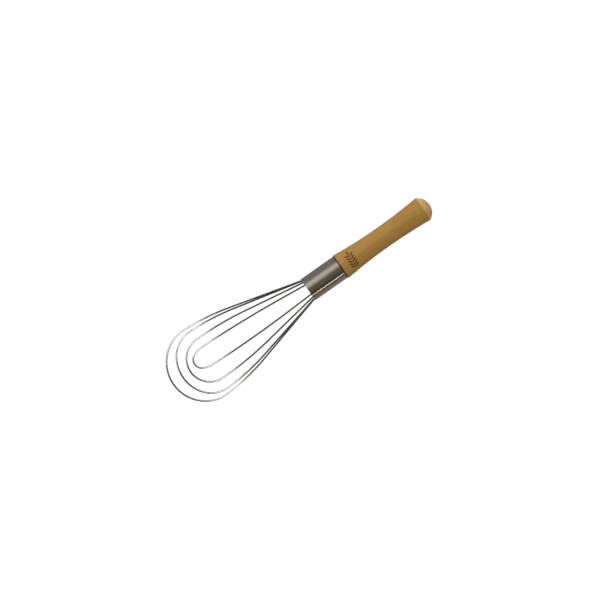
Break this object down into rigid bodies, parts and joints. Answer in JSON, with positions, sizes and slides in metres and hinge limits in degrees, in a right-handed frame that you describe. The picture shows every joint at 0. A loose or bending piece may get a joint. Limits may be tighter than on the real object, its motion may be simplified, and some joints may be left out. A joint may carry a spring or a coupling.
{
  "type": "flat whisk",
  "caption": "Flat whisk with nested wire loops lying in one plane, a steel ferrule and a waisted turned wooden handle with a domed end.",
  "frame": {"origin": "on the handle's axis, halfway between the head's tip and the crown of the butt", "axes": "+X along the handle towards the butt, Y across the flat head, +Z square to the flat head"},
  "size_m": [0.2532, 0.0638, 0.0222],
  "materials": {
    "beech": "satin lacquer",
    "tube_steel": "polished along its length",
    "pin_steel": "satin",
    "spring_wire": "bright drawn",
    "spacer_plastic": "moulded",
    "resin": "cast"
  },
  "bodies": {
    "root": {"handle": "beech", "ferrule": "tube_steel", "ferrule_pin": "pin_steel", "wire_spacer": "spacer_plastic", "resin_seal": "resin", "loop_outer": "spring_wire", "loop_second": "spring_wire", "loop_third": "spring_wire", "loop_inner": "spring_wire"}
  },
  "joints": []
}
